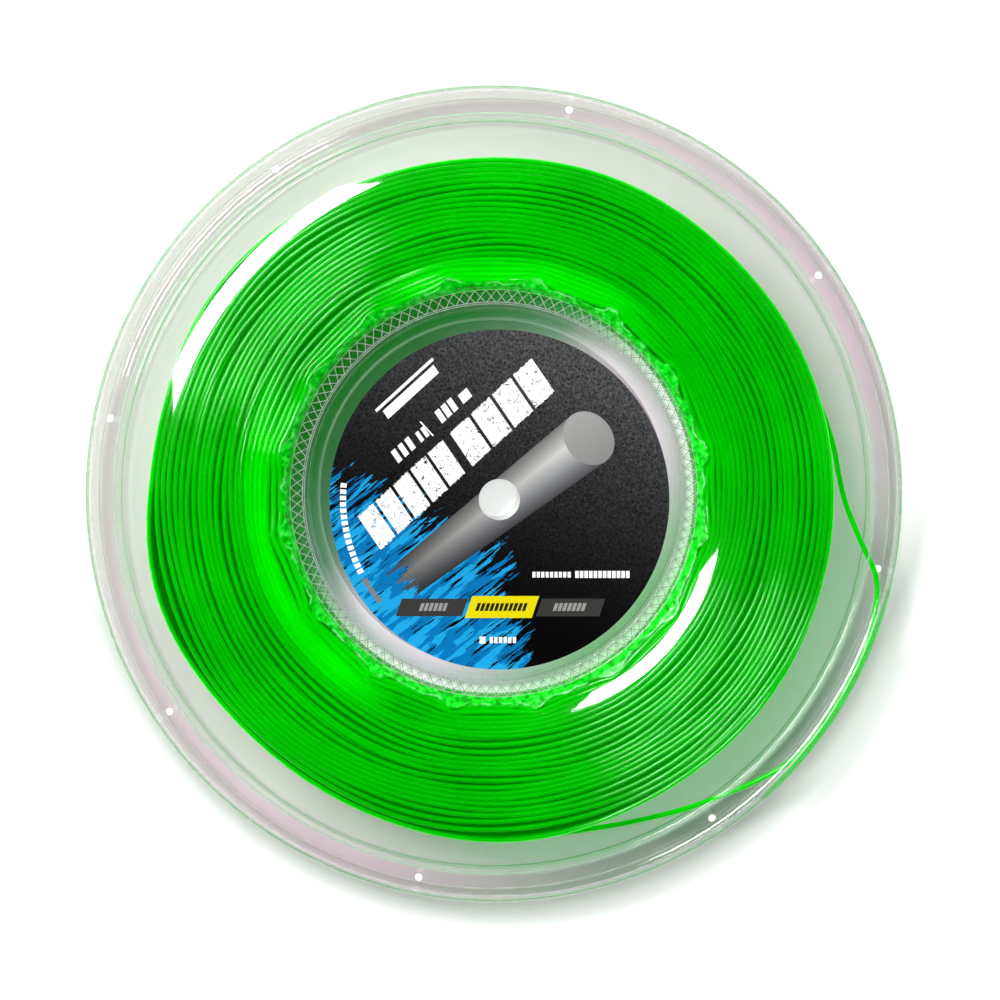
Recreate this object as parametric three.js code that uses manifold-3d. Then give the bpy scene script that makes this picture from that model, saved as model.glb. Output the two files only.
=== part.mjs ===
// A 200 m reel of 1.25 mm tennis string: two clear moulded halves, a ribbed core ring between them,
// the wound string, the slack loop of its last turn, and a round label in the front well.
//
// Millimetres. The reel lies flat: +Z is its axis, the label side is up, and the origin is the
// middle of the circle that it rests on. Heights named "h" are measured from the reel's mid-plane,
// so the front half is built on +h and the rear half is its mirror image.

import * as THREE from "three";
import { mergeVertices } from "three/addons/utils/BufferGeometryUtils.js";
import Module from "manifold-3d";

const wasm = await Module();
wasm.setup();

// ---- driving dimensions ----------------------------------------------------------------------

const HALF_THICKNESS = 15; // mid-plane to the crown of either flange
const WALL = 0.6; // sheet that the clear halves are formed from
const FIT_GAP = 0.3; // clearance between pieces that touch
const RING_SEGMENTS = 48; // facets round the moulded halves

const BORE_RADIUS = 5.2;
const FLOOR_HEIGHT = FIT_GAP / 2 + WALL; // outer face of the hub floor
const FLOOR_FILLET = 2.7; // outer radius of the curve from the floor up into the well wall
const FLOOR_EDGE_RADIUS = 39.4; // where that curve starts
const WELL_RADIUS = 42.6; // top of the well wall
const LEDGE_HEIGHT = 10.6; // flat ledge that sits on the core ring
const LEDGE_RADIUS = 45.9; // outer edge of the ledge
const RISER_RADIUS = 46.9; // where the riser beside the ledge meets the flange

const CROWN_RADIUS = 65.4; // middle of the flat crown of the flange
const CROWN_FLAT = 3; // width of that flat crown
const FLANGE_CURVE = 50; // radius of the flange's curve on each side of the crown
const FLANGE_STEPS = 4; // facets of each of those curves

const RIDGE_RADIUS = 85.4; // fine raised line that ends the flange's curve
const RIDGE_HEIGHT = 12.0;
const BAND_HEIGHT = 11.1; // flat band that holds the string holes
const BEAD_RADIUS = 90.6; // raised bead at the top of the rim
const BEAD_HEIGHT = 11.4;
const RIM_RADIUS = 92.7; // outside of the reel
const SKIRT_DRAFT = 0.4; // how much the skirt narrows towards the bead
const SKIRT_EDGE = 0.5; // half of the slot between the two skirts

const STRING_HOLES = 8;
const STRING_HOLE_RADIUS = 0.75;
const STRING_HOLE_CIRCLE = 88;
const STRING_HOLE_ANGLE = 33.9; // degrees from +X to the first hole

const CORE_INNER_RADIUS = WELL_RADIUS + WALL + FIT_GAP;
const CORE_OUTER_RADIUS = 46.2;
const CORE_HEIGHT = LEDGE_HEIGHT - WALL - FIT_GAP; // mid-plane to its end face
const RIBS = 16;
const RIB_ANGLE = 11.4; // degrees from +X to the first rib
const RIB_RADIUS = 1.9;
const RIB_CIRCLE = 47.4;
const CORE_SEGMENTS = 96;

const STRING_DIAMETER = 1.25;
const WINDING_INNER_RADIUS = CORE_OUTER_RADIUS + FIT_GAP;
const WINDING_OVER_RIB = RIB_CIRCLE + RIB_RADIUS + 0.6; // where the first turns bridge a rib
const WINDING_RADIUS = 77;
const WINDING_SHOULDER = 1.4; // rounding of the winding's outer corners
const WINDING_STEPS_PER_RIB = 4;

const LABEL_RADIUS = 38.6;
const LABEL_HOLE_RADIUS = 4.66;
const LABEL_THICKNESS = 0.25;
const LABEL_OFFSET = [1.25, -1.4]; // the sticker sits a little off the reel's centre
const LABEL_SEGMENTS = 72;

const LOOP_SIDES = 8;
const LOOP_STEPS = 52;
const LOOP_HEIGHT = 2.4; // above the mid-plane, midway along the loop
const LOOP_END_HEIGHT = 0.8; // above the mid-plane, where it meets the winding

// The slack loop in plan: it leaves the winding, runs out to the rim, follows the skirt and comes
// back to the winding a quarter turn further round.
const LOOP_ROUTE = [
  [1.4, -78.0],
  [11.6, -77.5],
  [21.7, -76.2],
  [32.9, -74.2],
  [44.2, -71.3],
  [55.1, -67.2],
  [61.2, -64.4],
  [66.3, -61.4],
  [70.4, -57.6],
  [74.4, -52.4],
  [77.4, -47.9],
  [80.2, -43.0],
  [82.9, -37.5],
  [85.0, -32.4],
  [86.5, -26.2],
  [87.0, -21.8],
  [86.2, -17.2],
  [84.2, -12.9],
  [81.8, -7.4],
  [79.7, -1.7],
  [78.3, 4.4],
  [77.2, 10.3],
];

// ---- materials -------------------------------------------------------------------------------

const CLEAR = { color: 0xd9dedb, roughness: 0.06, metalness: 0, transparent: true, opacity: 0.35 };
const STRING_GREEN = { color: 0x05cd05, roughness: 0.3, metalness: 0 };
const LABEL_BLACK = { color: 0x202022, roughness: 0.55, metalness: 0 };

// ---- helpers ---------------------------------------------------------------------------------

// A closed geometry as a manifold-3d solid.
function toSolid(geometry) {
  const bare = new THREE.BufferGeometry();
  bare.setAttribute("position", geometry.getAttribute("position"));
  bare.setIndex(geometry.index);
  const merged = mergeVertices(bare, 1e-4);
  return new wasm.Manifold(
    new wasm.Mesh({
      numProp: 3,
      vertProperties: new Float32Array(merged.attributes.position.array),
      triVerts: new Uint32Array(merged.index.array),
    }),
  );
}

// A manifold-3d solid as a flat-shaded geometry.
function toGeometry(solid) {
  const { vertProperties, triVerts } = solid.getMesh();
  const indexed = new THREE.BufferGeometry();
  indexed.setAttribute("position", new THREE.BufferAttribute(vertProperties, 3));
  indexed.setIndex(new THREE.BufferAttribute(triVerts, 1));
  const geometry = indexed.toNonIndexed();
  geometry.computeVertexNormals();
  return geometry;
}

function mesh(name, geometry, look) {
  const piece = new THREE.Mesh(geometry, new THREE.MeshStandardMaterial(look));
  piece.name = name;
  return piece;
}

// A closed outline of [radius, height] points, turned about +Z.
function turned(outline, segments) {
  const points = [...outline, outline[0]].map(([r, z]) => new THREE.Vector2(r, z));
  // The lathe turns about +Y from +Z: stand it on +Z with its start on +X.
  return new THREE.LatheGeometry(points, segments).rotateX(Math.PI / 2).rotateZ(Math.PI / 2);
}

// An upright cylinder between two heights at a polar place.
function post(radius, low, high, circle, degrees, sides) {
  const angle = THREE.MathUtils.degToRad(degrees);
  return new THREE.CylinderGeometry(radius, radius, high - low, sides)
    .rotateX(Math.PI / 2)
    .rotateZ(angle)
    .translate(circle * Math.cos(angle), circle * Math.sin(angle), (low + high) / 2);
}

// Points of an arc in an outline, both ends included. Angles in degrees, 0 along +radius.
function arc([centreRadius, centreHeight], radius, from, to, steps) {
  return Array.from({ length: steps + 1 }, (_, i) => {
    const angle = THREE.MathUtils.degToRad(from + ((to - from) * i) / steps);
    return [centreRadius + radius * Math.cos(angle), centreHeight + radius * Math.sin(angle)];
  });
}

// ---- the flange's curve ----------------------------------------------------------------------

const CROWN_INNER = CROWN_RADIUS - CROWN_FLAT / 2;
const CROWN_OUTER = CROWN_RADIUS + CROWN_FLAT / 2;

// Height of the flange at a radius, on a surface this far below its outer one.
function flangeHeight(radius, below) {
  const aside = Math.max(CROWN_INNER - radius, radius - CROWN_OUTER, 0);
  const curve = FLANGE_CURVE - below;
  return HALF_THICKNESS - FLANGE_CURVE + Math.sqrt(curve * curve - aside * aside);
}

// Outline points along the flange from one radius out to another.
function flangeLine(from, to, below) {
  const line = [];
  for (let i = 0; i <= FLANGE_STEPS; i += 1) {
    const radius = from + ((CROWN_INNER - from) * i) / FLANGE_STEPS;
    line.push([radius, flangeHeight(radius, below)]);
  }
  for (let i = 0; i <= FLANGE_STEPS; i += 1) {
    const radius = CROWN_OUTER + ((to - CROWN_OUTER) * i) / FLANGE_STEPS;
    line.push([radius, flangeHeight(radius, below)]);
  }
  return line;
}

// ---- pieces ----------------------------------------------------------------------------------

// Outer surface of a half, from the bore out to the edge of the skirt.
function outerLine() {
  const wellCurve = arc([FLOOR_EDGE_RADIUS, FLOOR_HEIGHT + FLOOR_FILLET], FLOOR_FILLET, -90, -8, 3);
  return [
    [BORE_RADIUS, FLOOR_HEIGHT],
    ...wellCurve,
    [WELL_RADIUS, LEDGE_HEIGHT],
    [LEDGE_RADIUS, LEDGE_HEIGHT],
    ...flangeLine(RISER_RADIUS, RIDGE_RADIUS - 0.7, 0),
    [RIDGE_RADIUS, RIDGE_HEIGHT],
    [RIDGE_RADIUS + 0.8, BAND_HEIGHT],
    [BEAD_RADIUS - 0.8, BAND_HEIGHT],
    [BEAD_RADIUS, BEAD_HEIGHT],
    [BEAD_RADIUS + 1.1, BEAD_HEIGHT - 0.6],
    [RIM_RADIUS - SKIRT_DRAFT, BEAD_HEIGHT - 2],
    [RIM_RADIUS, SKIRT_EDGE],
  ];
}

// Inner surface of a half, from the bore out to the edge of the skirt.
function innerLine() {
  const centre = [FLOOR_EDGE_RADIUS, FLOOR_HEIGHT + FLOOR_FILLET];
  const wellCurve = arc(centre, FLOOR_FILLET + WALL, -90, -8, 3);
  return [
    [BORE_RADIUS, FIT_GAP / 2],
    ...wellCurve,
    [WELL_RADIUS + WALL, LEDGE_HEIGHT - WALL],
    [LEDGE_RADIUS + 0.5, LEDGE_HEIGHT - WALL],
    ...flangeLine(RISER_RADIUS + 0.6, RIDGE_RADIUS, WALL),
    [BEAD_RADIUS - 0.6, BAND_HEIGHT - WALL],
    [RIM_RADIUS - SKIRT_DRAFT - WALL, BEAD_HEIGHT - 2.4],
    [RIM_RADIUS - WALL, SKIRT_EDGE],
  ];
}

function makeHalf() {
  const outline = [...innerLine(), ...outerLine().reverse()];
  let half = toSolid(turned(outline, RING_SEGMENTS));
  for (let i = 0; i < STRING_HOLES; i += 1) {
    const degrees = STRING_HOLE_ANGLE + (360 / STRING_HOLES) * i;
    const low = BAND_HEIGHT - 2 * WALL;
    const high = BAND_HEIGHT + WALL;
    half = half.subtract(toSolid(post(STRING_HOLE_RADIUS, low, high, STRING_HOLE_CIRCLE, degrees, 8)));
  }
  return toGeometry(half);
}

function makeCoreRing() {
  const ring = turned(
    [
      [CORE_INNER_RADIUS, -CORE_HEIGHT],
      [CORE_OUTER_RADIUS, -CORE_HEIGHT],
      [CORE_OUTER_RADIUS, CORE_HEIGHT],
      [CORE_INNER_RADIUS, CORE_HEIGHT],
    ],
    CORE_SEGMENTS,
  );
  let core = toSolid(ring);
  for (let i = 0; i < RIBS; i += 1) {
    const degrees = RIB_ANGLE + (360 / RIBS) * i;
    core = core.add(toSolid(post(RIB_RADIUS, -CORE_HEIGHT, CORE_HEIGHT, RIB_CIRCLE, degrees, 12)));
  }
  return toGeometry(core);
}

// The wound string as one body: it fills the space under the flanges, lies close to the core ring
// between the ribs, and bridges each rib.
function makeWinding() {
  const below = WALL + FIT_GAP;
  const top = [[WINDING_INNER_RADIUS, CORE_HEIGHT]];
  for (const radius of [RISER_RADIUS + 1.2, 55, CROWN_INNER, CROWN_OUTER, 72]) {
    top.push([radius, flangeHeight(radius, below)]);
  }
  const shoulderRadius = WINDING_RADIUS - WINDING_SHOULDER;
  const shoulderHeight = flangeHeight(shoulderRadius, below);
  top.push([shoulderRadius, shoulderHeight], [WINDING_RADIUS, shoulderHeight - WINDING_SHOULDER]);
  const bottom = top.map(([radius, h]) => [radius, -h]);
  const geometry = turned([...bottom, ...top.reverse()], RIBS * WINDING_STEPS_PER_RIB);
  geometry.rotateZ(THREE.MathUtils.degToRad(RIB_ANGLE));
  const places = geometry.getAttribute("position");
  for (let i = 0; i < places.count; i += 1) {
    const x = places.getX(i);
    const y = places.getY(i);
    const radius = Math.hypot(x, y);
    const turn = (THREE.MathUtils.radToDeg(Math.atan2(y, x)) - RIB_ANGLE) / (360 / RIBS);
    const onRib = Math.abs(turn - Math.round(turn)) < 0.5 / WINDING_STEPS_PER_RIB;
    if (onRib && radius < WINDING_OVER_RIB) {
      const out = WINDING_OVER_RIB / radius;
      places.setXY(i, x * out, y * out);
    }
  }
  return geometry;
}

function makeLabel() {
  const low = FLOOR_HEIGHT + FIT_GAP;
  return turned(
    [
      [LABEL_HOLE_RADIUS, low],
      [LABEL_RADIUS, low],
      [LABEL_RADIUS, low + LABEL_THICKNESS],
      [LABEL_HOLE_RADIUS, low + LABEL_THICKNESS],
    ],
    LABEL_SEGMENTS,
  ).translate(LABEL_OFFSET[0], LABEL_OFFSET[1], 0);
}

function makeLooseLoop() {
  const last = LOOP_ROUTE.length - 1;
  const route = LOOP_ROUTE.map(([x, y], i) => {
    const rise = Math.sin((Math.PI * i) / last);
    return new THREE.Vector3(x, y, LOOP_END_HEIGHT + (LOOP_HEIGHT - LOOP_END_HEIGHT) * rise);
  });
  const section = new THREE.Shape();
  for (let i = 0; i < LOOP_SIDES; i += 1) {
    const angle = ((i + 0.5) * 2 * Math.PI) / LOOP_SIDES;
    const x = (STRING_DIAMETER / 2) * Math.cos(angle);
    const y = (STRING_DIAMETER / 2) * Math.sin(angle);
    if (i === 0) section.moveTo(x, y);
    else section.lineTo(x, y);
  }
  section.closePath();
  return new THREE.ExtrudeGeometry(section, {
    steps: LOOP_STEPS,
    extrudePath: new THREE.CatmullRomCurve3(route),
  });
}

// ---- assembly --------------------------------------------------------------------------------

const reel = new THREE.Group();
reel.position.z = HALF_THICKNESS;

const frontHalf = mesh("front_half", makeHalf(), CLEAR);
const rearHalf = mesh("rear_half", makeHalf(), CLEAR);
// The same moulding turned over about +X, and turned on its axis until the string holes line up.
rearHalf.rotation.set(Math.PI, 0, THREE.MathUtils.degToRad(-2 * STRING_HOLE_ANGLE));

reel.add(frontHalf);
reel.add(rearHalf);
reel.add(mesh("core_ring", makeCoreRing(), CLEAR));
reel.add(mesh("string_winding", makeWinding(), STRING_GREEN));
reel.add(mesh("string_loose_loop", makeLooseLoop(), STRING_GREEN));
reel.add(mesh("front_label", makeLabel(), LABEL_BLACK));

export default reel;
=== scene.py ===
"""A 200 m reel of tennis string: clear formed halves, a ribbed core, the wound string turn by turn,
the slack loop of its last turn, and a printed label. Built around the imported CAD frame."""

import math

import bmesh
import bpy
import numpy as np
from mathutils import Matrix, Vector


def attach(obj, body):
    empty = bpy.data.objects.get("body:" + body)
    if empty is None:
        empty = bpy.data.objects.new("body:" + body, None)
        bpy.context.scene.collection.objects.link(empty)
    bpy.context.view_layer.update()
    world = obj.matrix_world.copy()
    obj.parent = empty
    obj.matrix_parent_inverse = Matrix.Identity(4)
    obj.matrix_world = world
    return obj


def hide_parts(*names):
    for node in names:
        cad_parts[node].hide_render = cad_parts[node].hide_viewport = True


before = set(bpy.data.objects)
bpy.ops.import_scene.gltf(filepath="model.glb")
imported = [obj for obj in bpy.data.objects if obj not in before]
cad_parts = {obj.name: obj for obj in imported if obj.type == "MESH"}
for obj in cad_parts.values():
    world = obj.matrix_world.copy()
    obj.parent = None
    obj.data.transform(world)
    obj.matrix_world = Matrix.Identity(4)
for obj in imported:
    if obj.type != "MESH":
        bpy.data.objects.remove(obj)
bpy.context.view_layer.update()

MM = 0.001
MIDDLE = 15.0  # height of the reel's mid-plane; heights named "h" are measured from it, in mm

# ---- the reel's dimensions, in mm --------------------------------------------------------------

WALL = 0.6
BORE_RADIUS = 5.2
FLOOR_HEIGHT = 0.75
FLOOR_FILLET = 2.7
FLOOR_EDGE_RADIUS = 39.4
WELL_RADIUS = 42.6
LEDGE_HEIGHT = 10.6
LEDGE_RADIUS = 45.9
RISER_RADIUS = 46.9
CROWN_RADIUS = 65.4
CROWN_FLAT = 3.0
CROWN_HEIGHT = 15.0
FLANGE_CURVE = 50.0
RIDGE_RADIUS = 85.4
RIDGE_HEIGHT = 12.0
BAND_HEIGHT = 11.1
BEAD_RADIUS = 90.6
BEAD_HEIGHT = 11.4
RIM_RADIUS = 92.7
SKIRT_DRAFT = 0.4
SKIRT_EDGE = 0.5

STRING_HOLES = 8
STRING_HOLE_RADIUS = 0.75
STRING_HOLE_CIRCLE = 88.0
STRING_HOLE_ANGLE = 33.9

CORE_INNER_RADIUS = 43.5
CORE_OUTER_RADIUS = 46.2
CORE_HEIGHT = 9.7
RIBS = 16
RIB_ANGLE = 11.4
RIB_RADIUS = 1.9
RIB_CIRCLE = 47.4

STRING_DIAMETER = 1.25
WINDING_RADIUS = 77.0

LABEL_RADIUS = 38.6
LABEL_HOLE_RADIUS = 4.66
LABEL_OFFSET = (1.25, -1.4)

# ---- camera ------------------------------------------------------------------------------------

VIEW_WIDTH = 225.0  # mm across the picture, at the height of the front flange
CAMERA_DISTANCE = 1100.0
SENSOR = 36.0
FLANGE_LEVEL = 26.0  # height of the front flange
CAMERA_ASIDE = (1.4, -1.5)  # the reel sits a little up and left of the picture's middle



def in_scene(name, data):
    """A new object that holds this data."""
    made = bpy.data.objects.new(name, data)
    bpy.context.scene.collection.objects.link(made)
    return made


camera = in_scene("camera", bpy.data.cameras.new("camera"))
camera.data.sensor_width = SENSOR
camera.data.lens = SENSOR * CAMERA_DISTANCE / VIEW_WIDTH
camera.location = Vector((*CAMERA_ASIDE, FLANGE_LEVEL + CAMERA_DISTANCE)) * MM
camera.data.clip_start = 0.05
camera.data.clip_end = 20.0
bpy.context.scene.camera = camera

# ---- mesh helpers ------------------------------------------------------------------------------


def make_mesh(name, verts, faces, smooth=True, sharp_degrees=None):
    """A mesh object from points in mm and faces."""
    data = bpy.data.meshes.new(name)
    data.from_pydata((np.asarray(verts, dtype=float) * MM).tolist(), [], faces)
    data.update()
    if smooth:
        data.shade_smooth()
    if sharp_degrees is not None:
        data.set_sharp_from_angle(angle=math.radians(sharp_degrees))
    return in_scene(name, data)


def all_round(count):
    """Equally spaced angles of one whole turn, the first at 0."""
    return np.arange(count) * math.tau / count


def unit(vectors):
    return vectors / np.linalg.norm(vectors, axis=-1, keepdims=True)


def on_circle(radius, angle):
    return radius * math.cos(angle), radius * math.sin(angle)


def arc(centre, radius, start, end, steps):
    """Points of an arc in an outline, both ends included; angles in degrees, 0 along +radius."""
    angles = np.radians(np.linspace(start, end, steps + 1))
    return [(centre[0] + radius * math.cos(a), centre[1] + radius * math.sin(a)) for a in angles]


def grid_faces(rows, columns, closed):
    """Faces between neighbouring rows of points. Each row closes on itself, and where closed is true
    the last row joins the first."""
    here = np.arange(rows)[:, None] * columns + np.arange(columns)[None, :]
    there = np.roll(here, -1, axis=0)
    faces = np.stack([here, np.roll(here, -1, axis=1), np.roll(there, -1, axis=1), there], axis=-1)
    return faces[:rows if closed else rows - 1].reshape(-1, 4)


def turned(name, outline, segments, sharp_degrees=None):
    """A closed outline of (radius, height) points turned about the reel's axis."""
    outline = np.asarray(outline, dtype=float)
    angles = all_round(segments)
    verts = np.empty((segments, len(outline), 3))
    verts[:, :, 0] = np.cos(angles)[:, None] * outline[None, :, 0]
    verts[:, :, 1] = np.sin(angles)[:, None] * outline[None, :, 0]
    verts[:, :, 2] = outline[None, :, 1]
    faces = grid_faces(segments, len(outline), closed=True)
    area = sum(a[0] * b[1] - b[0] * a[1] for a, b in zip(outline, np.roll(outline, -1, axis=0)))
    if area > 0:
        faces = faces[:, ::-1]
    return make_mesh(name, verts.reshape(-1, 3), faces.tolist(), sharp_degrees=sharp_degrees)


def swept(line, radius, sides):
    """A round tube along a line of points in mm, with the reel's axis kept as its up direction. Its
    first side faces away from the axis where the line runs round it."""
    line = np.asarray(line, dtype=float)
    along = unit(np.gradient(line, axis=0))
    side = unit(np.cross(along, (0.0, 0.0, 1.0)))
    up = np.cross(side, along)
    angles = all_round(sides)
    ring = np.cos(angles)[None, :, None] * side[:, None, :] + np.sin(angles)[None, :, None] * up[:, None, :]
    verts = line[:, None, :] + radius * ring
    faces = grid_faces(len(line), sides, closed=False).tolist()
    last = len(line) * sides
    faces.append(list(range(sides))[::-1])
    faces.append(list(range(last - sides, last)))
    return verts.reshape(-1, 3), faces


# ---- node helpers ------------------------------------------------------------------------------


class Nodes:
    """Short calls for building the node tree of one material, or of the world."""

    def __init__(self, name, world=None):
        self.material = world or bpy.data.materials.new(name)
        self.material.use_nodes = True
        self.tree = self.material.node_tree
        self.shader = self.tree.nodes.get("Principled BSDF")

    def add(self, kind, values=(), **settings):
        """A node with its settings, and with its inputs set to values or linked to sockets."""
        node = self.tree.nodes.new(kind)
        for key, value in settings.items():
            setattr(node, key, value)
        for key, value in dict(values).items():
            self.feed(node.inputs[key], value)
        return node

    def feed(self, socket, value):
        if isinstance(value, bpy.types.NodeSocket):
            self.tree.links.new(value, socket)
        else:
            socket.default_value = value

    def set(self, **values):
        """Sets the Principled shader's inputs; Base_Color stands for Base Color."""
        for key, value in values.items():
            self.feed(self.shader.inputs[key.replace("_", " ")], value)

    def cover(self, colour, roughness, share, glow):
        """Covers a share of the surface with a colour that glows a little by itself."""
        self.set(Base_Color=colour, Roughness=roughness, Alpha=share,
                 Emission_Color=colour, Emission_Strength=glow)

    def math(self, operation, a, b=None, clamp=False):
        node = self.add("ShaderNodeMath", operation=operation, use_clamp=clamp)
        self.feed(node.inputs[0], a)
        if b is not None:
            self.feed(node.inputs[1], b)
        return node.outputs[0]

    def plus(self, a, b, clamp=False):
        return self.math("ADD", a, b, clamp)

    def minus(self, a, b, clamp=False):
        return self.math("SUBTRACT", a, b, clamp)

    def times(self, a, b, clamp=False):
        return self.math("MULTIPLY", a, b, clamp)

    def over(self, a, b):
        return self.math("DIVIDE", a, b)

    def hypot(self, a, b):
        """The length of (a, b)."""
        return self.math("SQRT", self.plus(self.math("POWER", a, 2.0), self.math("POWER", b, 2.0)))

    def mix(self, share, a, b):
        node = self.add("ShaderNodeMix", data_type="RGBA")
        self.feed(node.inputs["Factor"], share)
        self.feed(node.inputs[6], a)
        self.feed(node.inputs[7], b)
        return node.outputs[2]

    def ramp(self, value, stops):
        node = self.add("ShaderNodeValToRGB", {"Fac": value})
        node.color_ramp.elements[0].position = stops[0][0]
        node.color_ramp.elements[0].color = stops[0][1]
        node.color_ramp.elements[1].position = stops[-1][0]
        node.color_ramp.elements[1].color = stops[-1][1]
        for place, colour in stops[1:-1]:
            node.color_ramp.elements.new(place).color = colour
        return node.outputs["Color"]

    def place(self):
        """Where a point of the piece is, in metres."""
        return self.add("ShaderNodeTexCoord").outputs["Object"]

    def noise(self, scale, detail=2.0, where=None, roughness=0.5):
        values = {"Scale": scale, "Detail": detail, "Roughness": roughness}
        return self.add("ShaderNodeTexNoise", {**values, "Vector": where or self.place()}).outputs["Fac"]

    def patches(self, noise, low, high, values):
        """Grey between two values, the first where a noise is under low, the second over high."""
        return self.ramp(noise, [(low, grey(values[0])), (high, grey(values[1]))])

    def part(self, vector, axis):
        return self.add("ShaderNodeSeparateXYZ", {"Vector": vector}).outputs[axis]

    def angle(self, vector):
        """The direction of a place from the axis, in radians."""
        return self.math("ARCTAN2", self.part(vector, "Y"), self.part(vector, "X"))

    def between(self, value, low, high):
        """1 where a value lies between two limits, else 0."""
        over = self.math("GREATER_THAN", value, low)
        return self.times(over, self.math("LESS_THAN", value, high))

    def blocks(self, along, across, start, pitch, count, share, low, high):
        """1 inside a row of equal blocks, else 0; each fills a share of its pitch."""
        cell = self.math("FRACT", self.over(self.minus(along, start), pitch))
        row = self.times(self.between(along, start, start + pitch * count),
                        self.between(across, low, high))
        return self.times(row, self.math("LESS_THAN", cell, share))

    def bump(self, height, strength, distance):
        node = self.add("ShaderNodeBump", {"Strength": strength, "Distance": distance, "Height": height})
        return node.outputs["Normal"]


def grey(value):
    return value, value, value, 1.0


def srgb(red, green, blue):
    """A linear colour from 0 to 255 display values."""
    out = []
    for value in (red, green, blue):
        share = value / 255
        out.append(share / 12.92 if share <= 0.04045 else ((share + 0.055) / 1.055) ** 2.4)
    return (*out, 1.0)


# ---- materials ---------------------------------------------------------------------------------

GLOW = "glow"  # name of the mesh attribute that holds how much painted glow a stretch of string has


def string_material(name, glow):
    """Glossy neon green monofilament, slightly uneven along its length; it has a little painted glow all
    over, and more where its mesh says so."""
    n = Nodes(name)
    drift = n.noise(45.0, 3.0)
    colour = n.ramp(drift, [(0.3, srgb(0, 206, 0)), (0.7, srgb(0, 232, 0))])
    fine = n.noise(900.0, 2.0)
    n.set(Base_Color=colour, Roughness=n.plus(n.times(fine, 0.07), 0.05), IOR=1.5)
    n.set(Normal=n.bump(fine, 0.1, 0.00002))
    # Painted light: the emission gives a slight glow everywhere, and more where the glow attribute says.
    more = n.add("ShaderNodeAttribute", attribute_name=GLOW).outputs["Fac"]
    n.set(Emission_Color=srgb(0, 255, 0), Emission_Strength=n.plus(more, glow))
    n.set(Specular_IOR_Level=0.8)
    return n.material


MOST_MIRRORED = 0.2  # the sheets' share of mirrored light stays under this where they are seen edge on


RIPPLE = 0.0002  # metres; how far the clear sheets wave


def clear_material(name, face_tint, edge_tint, rough):
    """Thin clear sheet: it mirrors a little, and what shows through is tinted more the more
    slantwise the sheet is seen, as the way through it grows."""
    n = Nodes(name)
    sheet = n.noise(25.0, 2.0)
    scuffs = n.noise(700.0, 4.0, roughness=0.7)
    roughness = n.patches(scuffs, 0.5, 0.8, (rough, rough + 0.06))
    bumped = n.bump(sheet, 0.3, RIPPLE)
    slant = n.add("ShaderNodeLayerWeight", {"Blend": 0.5}).outputs["Facing"]
    cloud = n.patches(sheet, 0.35, 0.65, (0.985, 1.0))
    tint = n.ramp(slant, [(0.0, (*face_tint, 1)), (0.35, (*face_tint, 1)), (0.95, (*edge_tint, 1))])
    clouded = n.add("ShaderNodeMix", {"Factor": 1.0, 6: tint, 7: cloud},
                    data_type="RGBA", blend_type="MULTIPLY")
    through = n.add("ShaderNodeBsdfTransparent", {"Color": clouded.outputs[2]})
    mirror = n.add("ShaderNodeBsdfGlossy", {"Color": (1, 1, 1, 1), "Roughness": roughness, "Normal": bumped})
    fresnel = n.add("ShaderNodeFresnel", {"IOR": 1.49, "Normal": bumped})
    share = n.math("MINIMUM", fresnel.outputs[0], MOST_MIRRORED)
    either = n.add("ShaderNodeMixShader", {0: share, 1: through.outputs[0], 2: mirror.outputs[0]})
    n.tree.links.new(either.outputs[0], n.tree.nodes["Material Output"].inputs["Surface"])
    n.tree.nodes.remove(n.shader)
    return n.material


def frost_and_painted_light_material(name, colour, solid, glow=0.0):
    """Partly see-through colour on clear plastic: frost on the knurls, and painted highlights and painted
    glow at edges, the ridge, the skirt and the ribs; partly its colour, partly see-through.
    """
    n = Nodes(name)
    cover = n.patches(n.noise(350.0, 3.0), 0.35, 0.65, (solid - 0.15, solid + 0.15))
    n.cover(colour, 0.3, cover, glow)
    return n.material


def around_axis(n, place):
    """Distance from the reel's axis, distance towards the picture's lower right, and the direction
    from the axis: 0 towards the softbox, at the upper left, to 1 at the lower right."""
    x, y = n.part(place, "X"), n.part(place, "Y")
    away = n.hypot(x, y)
    aside = n.times(n.minus(x, y), 0.7)
    return away, aside, n.plus(n.times(n.over(aside, away), 0.5), 0.5)


def beside_nearest(n, angle, first, count):
    """Angle from the nearest of some equally spaced places round the axis, the first at an angle of
    first degrees; all in radians apart from that."""
    share = n.plus(n.times(n.minus(angle, math.radians(first)), count / math.tau), 0.5)
    return n.times(n.minus(n.math("FRACT", share), 0.5), math.tau / count)


def loop_light_material():
    """The clear rim over the slack loop, painted with the string's green light that the rim would carry; it
    fades out towards both ends of the stretch, in painted blotches."""
    n = Nodes("loop_light")
    angle = n.math("DEGREES", n.angle(n.place()))
    middle, reach = sum(LOOP_LIT) / 2, (LOOP_LIT[1] - LOOP_LIT[0]) / 2
    inside = n.minus(reach, n.math("ABSOLUTE", n.minus(angle, middle)))
    fade = n.times(inside, 0.2, clamp=True)
    light_blotches = n.patches(n.noise(200.0, 3.0), 0.35, 0.65, (0.35, 0.75))
    # Painted light: glowing green over the loop.
    n.cover(srgb(20, 235, 40), 0.2, n.times(fade, light_blotches), 0.2)
    return n.material


LOOP_LIT = (-49.0, -14.0)  # degrees; the loop lies against the skirt between these angles
CORE_LIT_REACH = 1.9  # mm outside the ledge over which the flange is painted with the string's green
CORE_LIT_BULGE = 1.5  # how much further it reaches over a rib
CORE_LIT_HALF = 3.4  # half the width of such a bulge


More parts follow.
